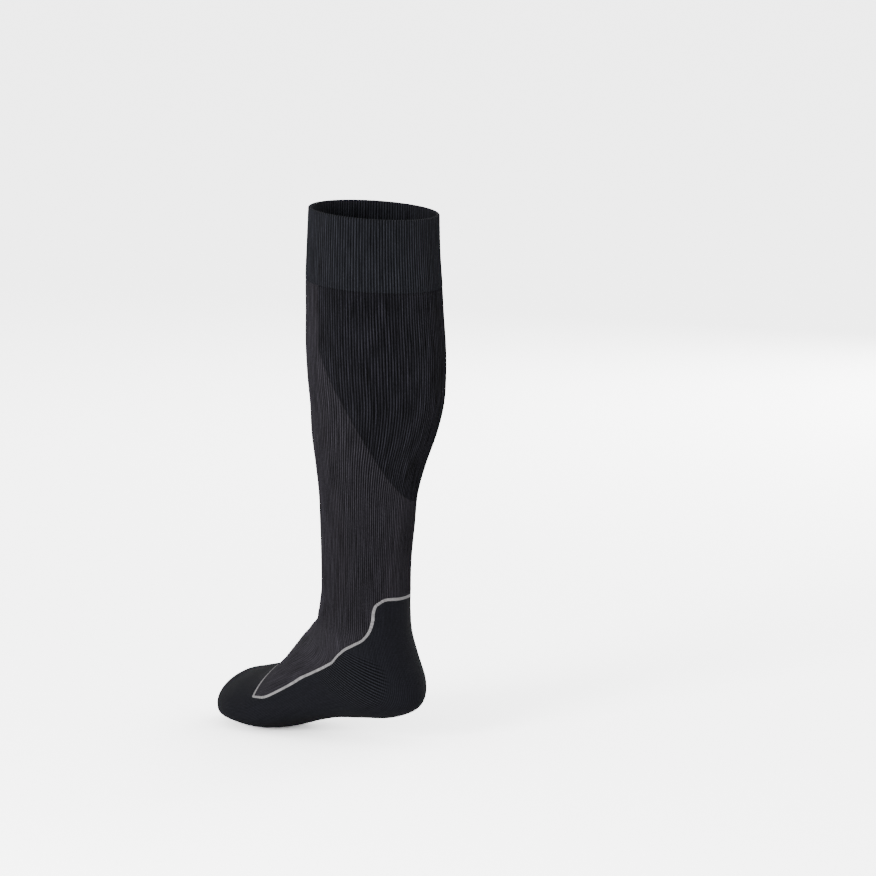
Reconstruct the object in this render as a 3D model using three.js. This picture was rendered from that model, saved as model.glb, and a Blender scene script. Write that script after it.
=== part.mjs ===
// Knee-length compression stocking for the left leg, as it stands when worn, in millimetres with +Z up.
// The origin is the centre of the top opening. The toes point along -Y and the outer side is +X.
// The cloth is a thin knitted wall: a tube round a line of sections that runs down the leg, turns at
// the heel and ends at the toe. Each knitted zone is a closed solid cut out of that tube.

import * as THREE from 'three';

// Driving dimensions in millimetres, angles in degrees
const FLOOR_DEPTH = 443;
const BAND_HEIGHT = 60;
const BAND_WALL = 2.2;
const LEG_WALL = 1.4;
const TRACER_WALL = 1.6;
const FOOT_WALL = 2.0;
const SEAM_GAP = 0.3;
const TRACER_WIDTH = 2.4;

// The ribs run down the band and the leg and fade out above the ankle
const RIB_COUNT = 144;
const BAND_RIB_RELIEF = 0.45;
const LEG_RIB_RELIEF = 0.35;
const RIB_END_DEPTH = 306;
const PLAIN_START_DEPTH = 316;

// The band sits lower behind the knee than in front, and this tilt fades out down the calf
const BAND_TILT = 4.5;
const TILT_END_DEPTH = 170;

// The rim is a soft fold
const RIM_ROUND_DEPTH = 1.2;
const RIM_ROUND_INSET = 0.6;

// Calf panel: its axis is turned from the back towards the inner side, and its lower edge is a parabola
const CALF_AXIS_ANGLE = 205;
const CALF_HALF_ANGLE = 124.375;
const CALF_TIP_DEPTH = 240;
const CALF_CURVE_RISE = 128;

// How much of a flat lower half is squared off
const SOLE_FULLNESS = 0.6;

// How fine the skins are: points round a plain ring, depth between rows down the ribbed leg, stations
// between rows down the foot, degrees between points of the calf panel's edge, points in each step of the
// tracer's table, and how near to a zone's edge a point of the base skin is taken to lie on it
const PLAIN_COLUMNS = 48;
const LEG_ROW_STEP = 34;
const FOOT_ROW_STEP = 0.5;
const FOOT_ROW_CLEARANCE = 0.2;
const CALF_LINE_STEP = 4;
const TRACER_STEPS = 8;
const SNAP = 0.1;

// Small steps of the search along a line and of the slope of the surface, in stations and degrees
const DEPTH_HALVINGS = 40;
const EDGE_HALVINGS = 22;
const STATION_PROBE = 0.02;
const ANGLE_PROBE = 1;

// Level sections of the leg: depth under the rim, side to side, front to back, how far the centre sits back
const LEG_SECTIONS = [
  { depth: 0, wide: 106, deep: 108, back: 0 },
  { depth: 30, wide: 107.5, deep: 110.5, back: -0.5 },
  { depth: 60, wide: 110.5, deep: 113.5, back: 0 },
  { depth: 85, wide: 112, deep: 114.5, back: 1 },
  { depth: 110, wide: 113.5, deep: 116.5, back: 2 },
  { depth: 135, wide: 112.5, deep: 115.5, back: 3 },
  { depth: 160, wide: 108, deep: 112, back: 3.5 },
  { depth: 185, wide: 99.5, deep: 106, back: 0 },
  { depth: 210, wide: 89, deep: 93, back: -4 },
  { depth: 235, wide: 78.5, deep: 84.5, back: -7 },
  { depth: 260, wide: 74, deep: 82, back: -8 },
  { depth: 290, wide: 69.5, deep: 79, back: -9.5 },
  { depth: 318, wide: 69.5, deep: 78, back: -10 },
];

// Sections of the foot, fanned round the instep: how far forward and how high over the floor each one
// starts on the front or top of the foot, and where it ends on the heel or sole; its width; how far it
// sits to the outer side; how flat its lower half is, from 0 for round to 1; and how far its top slopes
// down from the inner side to the outer side
const FOOT_SECTIONS = [
  { topFore: 53.5, topHigh: 108, soleFore: -31.5, soleHigh: 93, wide: 70, out: 0, flat: 0, slope: 0 },
  { topFore: 56.5, topHigh: 102, soleFore: -39.5, soleHigh: 70, wide: 71, out: 0, flat: 0.1, slope: 0 },
  { topFore: 64, topHigh: 96, soleFore: -50, soleHigh: 48, wide: 71, out: 0, flat: 0.15, slope: 1 },
  { topFore: 70.5, topHigh: 90, soleFore: -45, soleHigh: 32, wide: 71, out: 0, flat: 0.3, slope: 2 },
  { topFore: 77.5, topHigh: 84, soleFore: -22, soleHigh: 22.5, wide: 71, out: 0, flat: 0.6, slope: 4 },
  { topFore: 84.5, topHigh: 76.5, soleFore: 5, soleHigh: 19.5, wide: 74, out: 0, flat: 0.65, slope: 6 },
  { topFore: 93.5, topHigh: 66.5, soleFore: 35, soleHigh: 16.5, wide: 80, out: 1, flat: 0.9, slope: 9 },
  { topFore: 105.5, topHigh: 56, soleFore: 66, soleHigh: 9.5, wide: 87, out: 2.5, flat: 0.95, slope: 12 },
  { topFore: 119, topHigh: 49, soleFore: 97, soleHigh: 1, wide: 92, out: 3.5, flat: 0.85, slope: 13 },
  { topFore: 136, topHigh: 45, soleFore: 124, soleHigh: 0.5, wide: 92, out: 1.5, flat: 0.55, slope: 13 },
  { topFore: 153, topHigh: 41.5, soleFore: 149, soleHigh: 2.5, wide: 81, out: -3.5, flat: 0.7, slope: 11 },
  { topFore: 169, topHigh: 39, soleFore: 168.5, soleHigh: 3, wide: 63, out: -11, flat: 0.6, slope: 7 },
  { topFore: 183, topHigh: 31.5, soleFore: 183, soleHigh: 6.5, wide: 38, out: -17, flat: 0.4, slope: 3 },
  { topFore: 190, topHigh: 20, soleFore: 190, soleHigh: 16, wide: 4, out: -20, flat: 0, slope: 0 },
];

// Tracer: it crosses the back above the heel, turns down behind the ankle, runs along both sides of the
// foot and crosses straight over the toes between two sharp corners. Each row gives a station, where 0 is
// the rim and each section of the two tables is one station more, and the angles of the line on the outer
// and the inner side. The curve through them is laid out with TRACER_ANGLE_SCALE degrees as long as one
// station.
const TRACER_ANGLE_SCALE = 10;
const TRACER_PATH = [
  { station: 12.08, outer: 180, inner: 180 },
  { station: 12.08, outer: 158, inner: 146 },
  { station: 12.15, outer: 150.5, inner: 137.5 },
  { station: 12.26, outer: 144, inner: 131 },
  { station: 12.42, outer: 141.5, inner: 128 },
  { station: 12.6, outer: 140.5, inner: 126.5 },
  { station: 12.88, outer: 136.5, inner: 122 },
  { station: 13.26, outer: 126.5, inner: 115 },
  { station: 13.67, outer: 112, inner: 105 },
  { station: 14.29, outer: 96, inner: 94.5 },
  { station: 14.94, outer: 87.5, inner: 87 },
  { station: 15.49, outer: 84, inner: 83.5 },
  { station: 16.03, outer: 80.5, inner: 80.5 },
  { station: 17, outer: 78, inner: 78 },
  { station: 17.92, outer: 78, inner: 77 },
  { station: 18.43, outer: 79.5, inner: 77.5 },
  { station: 19.1, outer: 80.5, inner: 77.5 },
  { station: 19.52, outer: 80, inner: 77 },
  { station: 19.83, outer: 78.5, inner: 75.5 },
  { station: 20.1, outer: 73, inner: 70 },
  { station: 20.31, outer: 68, inner: 65.5 },
  { station: 20.37, outer: 66, inner: 63.5 },
  { station: 20.34, outer: 63.5, inner: 61 },
  { station: 20.27, outer: 56, inner: 54 },
  { station: 20.17, outer: 45, inner: 44 },
  { station: 20.02, outer: 30, inner: 30 },
  { station: 19.8, outer: 14, inner: 14 },
  { station: 19.72, outer: 0, inner: 0 },
];

// Colour and roughness of each zone's yarn
const YARNS = {
  band: { color: 0x232528, roughness: 0.95 },
  calf: { color: 0x1f2023, roughness: 0.95 },
  shin: { color: 0x302e33, roughness: 0.95 },
  foot: { color: 0x202126, roughness: 0.95 },
  tracer: { color: 0xb4b2b4, roughness: 0.9 },
};

const DEGREE = Math.PI / 180;
const ROUND = 360;

// The sections as points on the front or top line and on the back or sole line
const frontPoints = [];
const backPoints = [];
const breadths = [];
const slopes = [];
for (const section of LEG_SECTIONS) {
  frontPoints.push(new THREE.Vector3(0, section.back - section.deep / 2, -section.depth));
  backPoints.push(new THREE.Vector3(0, section.back + section.deep / 2, -section.depth));
  breadths.push(new THREE.Vector3(section.wide, 0, 0));
  slopes.push(new THREE.Vector3(0, 0, 0));
}
for (const section of FOOT_SECTIONS) {
  frontPoints.push(new THREE.Vector3(0, -section.topFore, section.topHigh - FLOOR_DEPTH));
  backPoints.push(new THREE.Vector3(0, -section.soleFore, section.soleHigh - FLOOR_DEPTH));
  breadths.push(new THREE.Vector3(section.wide, section.out, section.flat));
  slopes.push(new THREE.Vector3(section.slope, 0, 0));
}
const LAST_STATION = frontPoints.length - 1;
const softLine = (points) => new THREE.CatmullRomCurve3(points, false, 'catmullrom', 0.5);
const frontLine = softLine(frontPoints);
const backLine = softLine(backPoints);
const breadthLine = softLine(breadths);
const slopeLine = softLine(slopes);

// Smallest turn from one angle to another
function turn(from, to) {
  return THREE.MathUtils.euclideanModulo(to - from + ROUND / 2, ROUND) - ROUND / 2;
}

// How far the tilt of the band lowers a point
function tiltDrop(angle, depth) {
  const fade = 1 - THREE.MathUtils.smoothstep(depth, BAND_HEIGHT, TILT_END_DEPTH);
  return -BAND_TILT * fade * Math.cos(angle * DEGREE);
}

// Point on the outer face of the stocking. Angle 0 is the front or top, 90 the outer side, 180 the back.
// A pole, at the tip of the toe, has no angle.
function surfacePoint(station, angle) {
  const t = THREE.MathUtils.clamp(station / LAST_STATION, 0, 1);
  const front = frontLine.getPoint(t);
  const back = backLine.getPoint(t);
  if (angle === null) {
    return front.add(back).multiplyScalar(0.5).setX(breadthLine.getPoint(t).y);
  }
  const breadth = breadthLine.getPoint(t);
  const flat = THREE.MathUtils.clamp(breadth.z, 0, 1);
  const cosine = Math.cos(angle * DEGREE);
  const sine = Math.sin(angle * DEGREE);
  const lean = cosine < 0 ? -Math.pow(-cosine, 1 - SOLE_FULLNESS * flat) : cosine;
  const point = front.clone().add(back).multiplyScalar(0.5);
  point.addScaledVector(front.clone().sub(back), lean / 2);
  point.x += breadth.y + sine * breadth.x / 2;
  point.z -= slopeLine.getPoint(t).x * sine * (1 + lean) / 2;
  point.z -= tiltDrop(angle, -point.z);
  return point;
}

// Outward normal of that face
function surfaceNormal(station, angle) {
  if (angle === null) {
    return surfacePoint(LAST_STATION, null).sub(surfacePoint(LAST_STATION - 1, null)).normalize();
  }
  const near = THREE.MathUtils.clamp(station, STATION_PROBE, LAST_STATION - STATION_PROBE);
  const along = surfacePoint(near + STATION_PROBE, angle).sub(surfacePoint(near - STATION_PROBE, angle));
  const round = surfacePoint(near, angle + ANGLE_PROBE).sub(surfacePoint(near, angle - ANGLE_PROBE));
  return along.cross(round).normalize();
}

// Station of a level ring at a depth under the rim
function stationAtDepth(depth) {
  let low = 0;
  let high = LEG_SECTIONS.length;
  for (let i = 0; i < DEPTH_HALVINGS; i += 1) {
    const middle = (low + high) / 2;
    if (-frontLine.getPoint(middle / LAST_STATION).z < depth) {
      low = middle;
    } else {
      high = middle;
    }
  }
  return (low + high) / 2;
}

// Height of the ribs, from 0 in a valley to 1 on a ridge
function ribWave(angle) {
  const phase = THREE.MathUtils.euclideanModulo(angle * RIB_COUNT / ROUND, 1);
  return 1 - Math.abs(2 * phase - 1);
}

// A skin is a list of points, each a station and an angle, and a list of triangles
function addRing(skin, station, count) {
  const ring = [];
  for (let i = 0; i < count; i += 1) {
    ring.push(skin.points.length);
    skin.points.push({ station, angle: count > 1 ? ROUND * i / count : null });
  }
  return ring;
}

// Triangles between two rings, which may have different numbers of points; the lower one may be a pole
function joinRings(skin, upper, lower) {
  let i = 0;
  let j = lower.length > 1 ? 0 : 1;
  while (i < upper.length || j < lower.length) {
    const a = upper[i % upper.length];
    const b = lower[j % lower.length];
    if (j >= lower.length || (i < upper.length && (i + 1) / upper.length <= (j + 1) / lower.length)) {
      i += 1;
      skin.triangles.push([a, b, upper[i % upper.length]]);
    } else {
      j += 1;
      skin.triangles.push([a, b, lower[j % lower.length]]);
    }
  }
}

// A skin of rings, each row giving its station and its number of points; a row of one point is a pole
function ringSkin(rows) {
  const skin = { points: [], triangles: [] };
  let upper = null;
  for (const row of rows) {
    const lower = addRing(skin, row.station, row.count);
    if (upper) {
      joinRings(skin, upper, lower);
    }
    upper = lower;
  }
  return skin;
}

// Point of an edge where a signed distance passes through a margin, found by halving
function crossing(from, to, distance, margin) {
  const sweep = turn(from.angle, to.angle);
  const rising = distance(to) > distance(from);
  let low = 0;
  let high = 1;
  let middle = from;
  for (let i = 0; i < EDGE_HALVINGS; i += 1) {
    const t = (low + high) / 2;
    middle = {
      station: from.station + (to.station - from.station) * t,
      angle: from.angle + sweep * t,
    };
    if ((distance(middle) < margin) === rising) {
      low = t;
    } else {
      high = t;
    }
  }
  return middle;
}

// The part of a skin where a signed distance in millimetres is at least the margin
function trimSkin(skin, distance, margin) {
  const values = skin.points.map((point) => {
    const value = distance(point) - margin;
    return Math.abs(value) < SNAP ? 0 : value;
  });
  const trimmed = { points: [], triangles: [] };
  const kept = new Map();
  const cuts = new Map();
  const keep = (index) => {
    if (!kept.has(index)) {
      kept.set(index, trimmed.points.length);
      trimmed.points.push(skin.points[index]);
    }
    return kept.get(index);
  };
  const cut = (a, b) => {
    const key = a < b ? `${a}/${b}` : `${b}/${a}`;
    if (!cuts.has(key)) {
      cuts.set(key, trimmed.points.length);
      const [from, to] = a < b ? [a, b] : [b, a];
      trimmed.points.push(crossing(skin.points[from], skin.points[to], distance, margin));
    }
    return cuts.get(key);
  };
  for (const triangle of skin.triangles) {
    const outline = [];
    let inside = false;
    for (let i = 0; i < 3; i += 1) {
      const a = triangle[i];
      const b = triangle[(i + 1) % 3];
      if (values[a] >= 0) {
        outline.push(keep(a));
      }
      inside = inside || values[a] > 0;
      if (values[a] * values[b] < 0) {
        outline.push(cut(a, b));
      }
    }
    for (let i = 2; inside && i < outline.length; i += 1) {
      trimmed.triangles.push([outline[0], outline[i - 1], outline[i]]);
    }
  }
  return trimmed;
}

// Closed chains of edges that bound a skin
function edgeLoops(triangles) {
  const next = new Map();
  const edges = new Set();
  for (const [a, b, c] of triangles) {
    for (const [from, to] of [[a, b], [b, c], [c, a]]) {
      edges.add(`${from}/${to}`);
    }
  }
  for (const [a, b, c] of triangles) {
    for (const [from, to] of [[a, b], [b, c], [c, a]]) {
      if (!edges.has(`${to}/${from}`)) {
        next.set(from, to);
      }
    }
  }
  const loops = [];
  while (next.size > 0) {
    const loop = [];
    let at = next.keys().next().value;
    while (next.has(at)) {
      loop.push(at);
      const following = next.get(at);
      next.delete(at);
      at = following;
    }
    loops.push(loop);
  }
  return loops;
}

// Wall between an outer loop and an inner loop that runs beside it, taking the shorter diagonal each time
function edgeWall(positions, outer, inner) {
  const start = positions[outer[0]];
  let nearest = 0;
  for (let j = 1; j < inner.length; j += 1) {
    if (positions[inner[j]].distanceTo(start) < positions[inner[nearest]].distanceTo(start)) {
      nearest = j;
    }
  }
  const beside = inner.map((_, j) => inner[(j + nearest) % inner.length]);
  const triangles = [];
  let i = 0;
  let j = 0;
  while (i < outer.length || j < beside.length) {
    const a = outer[i % outer.length];
    const b = beside[j % beside.length];
    const nextA = outer[(i + 1) % outer.length];
    const nextB = beside[(j + 1) % beside.length];
    const forward = positions[nextA].distanceTo(positions[b]);
    const sideways = positions[nextB].distanceTo(positions[a]);
    if (j >= beside.length || (i < outer.length && forward <= sideways)) {
      triangles.push([nextA, a, b]);
      i += 1;
    } else {
      triangles.push([b, nextB, a]);
      j += 1;
    }
  }
  return triangles;
}

// Closed solid between an outer skin and an inner skin with the same outline
function clothSolid(outerSkin, innerSkin, outerHeight, wall) {
  const place = (point, height) => {
    const normal = surfaceNormal(point.station, point.angle);
    return surfacePoint(point.station, point.angle).addScaledVector(normal, height);
  };
  const shift = outerSkin.points.length;
  const positions = outerSkin.points.map((point) => place(point, outerHeight(point)));
  positions.push(...innerSkin.points.map((point) => place(point, -wall)));
  const innerTriangles = innerSkin.triangles.map((triangle) => triangle.map((index) => index + shift));
  const triangles = outerSkin.triangles.concat(innerTriangles.map(([a, b, c]) => [a, c, b]));
  const middle = (loop) => {
    const sum = new THREE.Vector3();
    loop.forEach((index) => sum.add(positions[index]));
    return sum.divideScalar(loop.length);
  };
  const innerLoops = edgeLoops(innerTriangles);
  for (const outer of edgeLoops(outerSkin.triangles)) {
    const centre = middle(outer);
    innerLoops.sort((a, b) => middle(a).distanceTo(centre) - middle(b).distanceTo(centre));
    triangles.push(...edgeWall(positions, outer, innerLoops.shift()));
  }
  const numbers = positions.flatMap((position) => position.toArray());
  const geometry = new THREE.BufferGeometry();
  geometry.setAttribute('position', new THREE.Float32BufferAttribute(numbers, 3));
  geometry.setIndex(triangles.flat());
  geometry.computeVertexNormals();
  return geometry;
}

// An edge between two zones: a line of points on the outer face, and a test for its inner side.
// The signed distance of a point is measured in space and is positive on the inner side.
function zoneEdge(line, isInside) {
  const places = line.map((point) => surfacePoint(point.station, point.angle));
  const segments = places.slice(1).map((end, i) => new THREE.Line3(places[i], end));
  const foot = new THREE.Vector3();
  return (point) => {
    const place = surfacePoint(point.station, point.angle);
    let nearest = Infinity;
    for (const segment of segments) {
      segment.closestPointToPoint(place, true, foot);
      nearest = Math.min(nearest, foot.distanceTo(place));
    }
    return isInside(point) ? nearest : -nearest;
  };
}

// Lower edge of the calf panel: a parabola up to its full width, then straight up under the band
const calfTip = stationAtDepth(CALF_TIP_DEPTH);
function calfEdgeDepth(away) {
  return CALF_TIP_DEPTH - CALF_CURVE_RISE * (away / CALF_HALF_ANGLE) ** 2;
}
const calfLine = [];
for (let away = -CALF_HALF_ANGLE; away <= CALF_HALF_ANGLE; away += CALF_LINE_STEP) {
  calfLine.push({ station: stationAtDepth(calfEdgeDepth(away)), angle: CALF_AXIS_ANGLE + away });
}
calfLine.unshift({ station: 0, angle: CALF_AXIS_ANGLE - CALF_HALF_ANGLE });
calfLine.push({ station: 0, angle: CALF_AXIS_ANGLE + CALF_HALF_ANGLE });
const intoCalf = zoneEdge(calfLine, (point) => {
  if (point.angle === null) {
    return false;
  }
  const away = turn(CALF_AXIS_ANGLE, point.angle);
  const beside = Math.abs(away) < CALF_HALF_ANGLE;
  return beside && point.station < calfTip && point.station < stationAtDepth(calfEdgeDepth(away));
});

// The tracer's line: a soft curve through its table, down the outer side and back up the inner side
function tracerSide(side) {
  const corners = TRACER_PATH.map(
    (row) => new THREE.Vector3(row.station, row[side] / TRACER_ANGLE_SCALE, 0),
  );
  const curve = new THREE.CatmullRomCurve3(corners, false, 'centripetal');
  return curve.getPoints(TRACER_STEPS * (TRACER_PATH.length - 1)).map((point) => ({
    station: point.x,
    angle: point.y * TRACER_ANGLE_SCALE,
  }));
}
const outerSide = tracerSide('outer');
const innerSide = tracerSide('inner');
const tracerLine = [
  ...outerSide,
  ...innerSide.slice().reverse().map(({ station, angle }) => ({ station, angle: -angle })),
];

// A point is on the leg's side of the tracer if a line from it towards the toe meets the tracer an odd
// number of times
const intoLeg = zoneEdge(tracerLine, (point) => {
  if (point.angle === null) {
    return false;
  }
  const away = turn(0, point.angle);
  let inside = false;
  for (let i = 1; i < tracerLine.length; i += 1) {
    const from = tracerLine[i - 1];
    const to = tracerLine[i];
    if ((from.angle <= away) !== (to.angle <= away)) {
      const share = (away - from.angle) / (to.angle - from.angle);
      const meets = THREE.MathUtils.lerp(from.station, to.station, share);
      inside = inside !== meets > point.station;
    }
  }
  return inside;
});
const intoFoot = (point) => -intoLeg(point);
const offCalf = (point) => -intoCalf(point);

// Rows of the base skins: level rows down the ribbed leg, and fanned rows round the foot
const ribEnd = stationAtDepth(RIB_END_DEPTH);
const plainStart = stationAtDepth(PLAIN_START_DEPTH);
const cornerDepth = CALF_TIP_DEPTH - CALF_CURVE_RISE;
function levelRows(from, to) {
  const count = Math.round((to - from) / LEG_ROW_STEP);
  return Array.from({ length: count }, (_, i) => stationAtDepth(from + (to - from) * i / count));
}
const ribRows = [
  ...levelRows(BAND_HEIGHT + SEAM_GAP, cornerDepth),
  ...levelRows(cornerDepth, RIB_END_DEPTH),
  ribEnd,
];
const footRows = [plainStart];
for (let station = 0; station < LAST_STATION; station += FOOT_ROW_STEP) {
  if (station > plainStart + FOOT_ROW_CLEARANCE) {
    footRows.push(station);
  }
}
const ringsOf = (stations, count) => stations.map((station) => ({ station, count }));
const toePole = [{ station: LAST_STATION, count: 1 }];
const legSkinOut = ringSkin([
  ...ringsOf(ribRows, 2 * RIB_COUNT),
  ...ringsOf(footRows, PLAIN_COLUMNS),
  ...toePole,
]);
const legSkinIn = ringSkin([...ringsOf([...ribRows, ...footRows], PLAIN_COLUMNS), ...toePole]);

// The zones of a skin, parted along the calf panel's edge and on both sides of the tracer
function zonesOf(skin) {
  const leg = trimSkin(skin, intoLeg, TRACER_WIDTH / 2 + SEAM_GAP);
  const strip = trimSkin(skin, intoLeg, -TRACER_WIDTH / 2);
  return {
    calf: trimSkin(leg, intoCalf, SEAM_GAP / 2),
    shin: trimSkin(leg, offCalf, SEAM_GAP / 2),
    tracer: trimSkin(strip, intoFoot, -TRACER_WIDTH / 2),
    foot: trimSkin(skin, intoFoot, TRACER_WIDTH / 2 + SEAM_GAP),
  };
}
const outer = zonesOf(legSkinOut);
const inner = zonesOf(legSkinIn);

// Top band: a double turned band with a rounded fold at the rim
const bandRows = [0, RIM_ROUND_DEPTH, BAND_HEIGHT].map(stationAtDepth);
const bandOut = ringSkin(ringsOf(bandRows, 2 * RIB_COUNT));
const bandIn = ringSkin(ringsOf(bandRows, PLAIN_COLUMNS));
const bandRibs = (point) => {
  const atRim = point.station < bandRows[1];
  return atRim ? -RIM_ROUND_INSET : BAND_RIB_RELIEF * ribWave(point.angle);
};

// Leg ribs fade out between the last ribbed row and the first plain one
const legRibs = (point) => {
  const fade = 1 - THREE.MathUtils.smoothstep(point.station, ribEnd - 1, plainStart);
  return LEG_RIB_RELIEF * fade * ribWave(point.angle);
};
const noRibs = () => 0;

const stocking = new THREE.Group();
function addZone(name, geometry, yarn) {
  const mesh = new THREE.Mesh(geometry, new THREE.MeshStandardMaterial({ ...yarn, metalness: 0 }));
  mesh.name = name;
  stocking.add(mesh);
}
addZone('top_band', clothSolid(bandOut, bandIn, bandRibs, BAND_WALL), YARNS.band);
addZone('calf_panel', clothSolid(outer.calf, inner.calf, legRibs, LEG_WALL), YARNS.calf);
addZone('shin_panel', clothSolid(outer.shin, inner.shin, legRibs, LEG_WALL), YARNS.shin);
addZone('tracer', clothSolid(outer.tracer, inner.tracer, noRibs, TRACER_WALL), YARNS.tracer);
addZone('foot', clothSolid(outer.foot, inner.foot, noRibs, FOOT_WALL), YARNS.foot);

export default stocking;
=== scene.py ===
# %% [markdown]
# # A knee-length compression stocking
# This lesson dresses a imported model of a ribbed compression stocking for the left leg. The model gives
# the true sizes and stays where it is. The lesson builds finer cloth on the same form: ribs, knitted
# stitches, a turned band, a light tracer line and a plain foot. Everything is in metres, with +Z up the
# leg, the toes along -Y and the outer side of the leg along +X.

# %% Load the imported model
import math

import bpy
import numpy as np
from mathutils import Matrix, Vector


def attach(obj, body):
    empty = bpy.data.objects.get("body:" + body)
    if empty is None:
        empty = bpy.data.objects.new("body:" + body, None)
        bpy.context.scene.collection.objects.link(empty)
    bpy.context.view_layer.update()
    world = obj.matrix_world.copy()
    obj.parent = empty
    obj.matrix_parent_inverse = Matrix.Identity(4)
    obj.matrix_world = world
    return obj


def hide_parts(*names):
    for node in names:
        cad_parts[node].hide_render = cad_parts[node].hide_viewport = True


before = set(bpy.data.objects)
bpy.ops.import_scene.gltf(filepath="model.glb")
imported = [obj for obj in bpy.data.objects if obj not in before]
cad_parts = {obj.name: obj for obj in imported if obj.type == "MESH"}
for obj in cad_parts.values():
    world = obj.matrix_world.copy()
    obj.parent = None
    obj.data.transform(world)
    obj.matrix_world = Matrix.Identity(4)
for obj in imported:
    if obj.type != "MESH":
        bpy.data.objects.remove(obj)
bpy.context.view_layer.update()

MM = 0.001
print("CAD nodes:", sorted(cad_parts))

# %% [markdown]
# ## The form as two short tables
# A knitted stocking is a tube. The machine makes it ring by ring, so the form is given ring by ring
# too. Down the leg the rings are level. Round the heel and along the foot they fan out from the instep.
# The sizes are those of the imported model, in millimetres, because a maker reads those with ease.

# %% Sizes of the stocking in millimetres
FLOOR_DEPTH = 443
BAND_HEIGHT = 60
BAND_WALL = 2.2
LEG_WALL = 1.4
FOOT_WALL = 2.0
TRACER_WALL = 1.6
TRACER_HALF = 1.15
RIB_COUNT = 144
BAND_TILT = 4.5
TILT_END_DEPTH = 170
SOLE_FULLNESS = 0.6
CALF_AXIS_ANGLE = 205
CALF_HALF_ANGLE = 124.375
CALF_TIP_DEPTH = 240
CALF_CURVE_RISE = 128

# depth under the rim, side to side, front to back, how far the centre sits back
LEG_SECTIONS = [
    (0, 106, 108, 0),
    (30, 107.5, 110.5, -0.5),
    (60, 110.5, 113.5, 0),
    (85, 112, 114.5, 1),
    (110, 113.5, 116.5, 2),
    (135, 112.5, 115.5, 3),
    (160, 108, 112, 3.5),
    (185, 99.5, 106, 0),
    (210, 89, 93, -4),
    (235, 78.5, 84.5, -7),
    (260, 74, 82, -8),
    (290, 69.5, 79, -9.5),
    (318, 69.5, 78, -10),
]

# top forward, top high, sole forward, sole high, width, shift outwards, flatness, slope of the top
FOOT_SECTIONS = [
    (53.5, 108, -31.5, 93, 70, 0, 0, 0),
    (56.5, 102, -39.5, 70, 71, 0, 0.1, 0),
    (64, 96, -50, 48, 71, 0, 0.15, 1),
    (70.5, 90, -45, 32, 71, 0, 0.3, 2),
    (77.5, 84, -22, 22.5, 71, 0, 0.6, 4),
    (84.5, 76.5, 5, 19.5, 74, 0, 0.65, 6),
    (93.5, 66.5, 35, 16.5, 80, 1, 0.9, 9),
    (105.5, 56, 66, 9.5, 87, 2.5, 0.95, 12),
    (119, 49, 97, 1, 92, 3.5, 0.85, 13),
    (136, 45, 124, 0.5, 92, 1.5, 0.55, 13),
    (153, 41.5, 149, 2.5, 81, -3.5, 0.7, 11),
    (169, 39, 168.5, 3, 63, -11, 0.6, 7),
    (183, 31.5, 183, 6.5, 38, -17, 0.4, 3),
    (190, 20, 190, 16, 4, -20, 0, 0),
]

# station of the tracer line, its angle on the outer side, its angle on the inner side
TRACER_PATH = [
    (12.08, 180, 180),
    (12.08, 158, 146),
    (12.15, 150.5, 137.5),
    (12.26, 144, 131),
    (12.42, 141.5, 128),
    (12.6, 140.5, 126.5),
    (12.88, 136.5, 122),
    (13.26, 126.5, 115),
    (13.67, 112, 105),
    (14.29, 96, 94.5),
    (14.94, 87.5, 87),
    (15.49, 84, 83.5),
    (16.03, 80.5, 80.5),
    (17, 78, 78),
    (17.92, 78, 77),
    (18.43, 79.5, 77.5),
    (19.1, 80.5, 77.5),
    (19.52, 80, 77),
    (19.83, 78.5, 75.5),
    (20.1, 73, 70),
    (20.31, 68, 65.5),
    (20.37, 66, 63.5),
    (20.34, 63.5, 61),
    (20.27, 56, 54),
    (20.17, 45, 44),
    (20.02, 30, 30),
    (19.8, 14, 14),
    (19.72, 0, 0),
]
TRACER_ANGLE_SCALE = 10
TRACER_STEPS = 8
print(len(LEG_SECTIONS), "leg sections and", len(FOOT_SECTIONS), "foot sections")
print(len(TRACER_PATH), "rows for the tracer")

# %% [markdown]
# ## One smooth surface
# A point of the cloth has two numbers: a station, which counts the rows of the tables, and an angle
# round the ring, where 0 is the front or top, 90 the outer side and 180 the back or sole. A loft of
# NURBS rings could give such a form, but a formula gives each point's place and its outward direction
# exactly, and so ribs, creases and seams can be laid on it in true millimetres.

# %% From station and angle to a point in space
def smooth(value, start, end):
    t = np.clip((value - start) / (end - start), 0, 1)
    return t * t * (3 - 2 * t)


def section_rows():
    rows = []
    for depth, wide, deep, back in LEG_SECTIONS:
        rows.append((back - deep / 2, -depth, back + deep / 2, -depth, wide, 0, 0, 0))
    for top_fore, top_high, sole_fore, sole_high, wide, out, flat, slope in FOOT_SECTIONS:
        top = (-top_fore, top_high - FLOOR_DEPTH)
        sole = (-sole_fore, sole_high - FLOOR_DEPTH)
        rows.append((*top, *sole, wide, out, flat, slope))
    return np.array(rows, float)


SECTIONS = section_rows()
LAST_STATION = len(SECTIONS) - 1


def along_table(rows, station):
    """Soft curve through the rows of a table, read at a station."""
    last = len(rows) - 1
    place = np.clip(np.asarray(station, float), 0, last)
    row = np.minimum(place.astype(int), last - 1)
    part = (place - row)[..., None]
    here, after = rows[row], rows[row + 1]
    before = np.where(row[..., None] > 0, rows[np.maximum(row - 1, 0)], 2 * here - after)
    beyond = np.where(row[..., None] < last - 1, rows[np.minimum(row + 2, last)], 2 * after - here)
    leave, arrive = (after - before) / 2, (beyond - here) / 2
    bend = 3 * (after - here) - 2 * leave - arrive
    twist = 2 * (here - after) + leave + arrive
    return here + part * (leave + part * (bend + part * twist))


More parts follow.
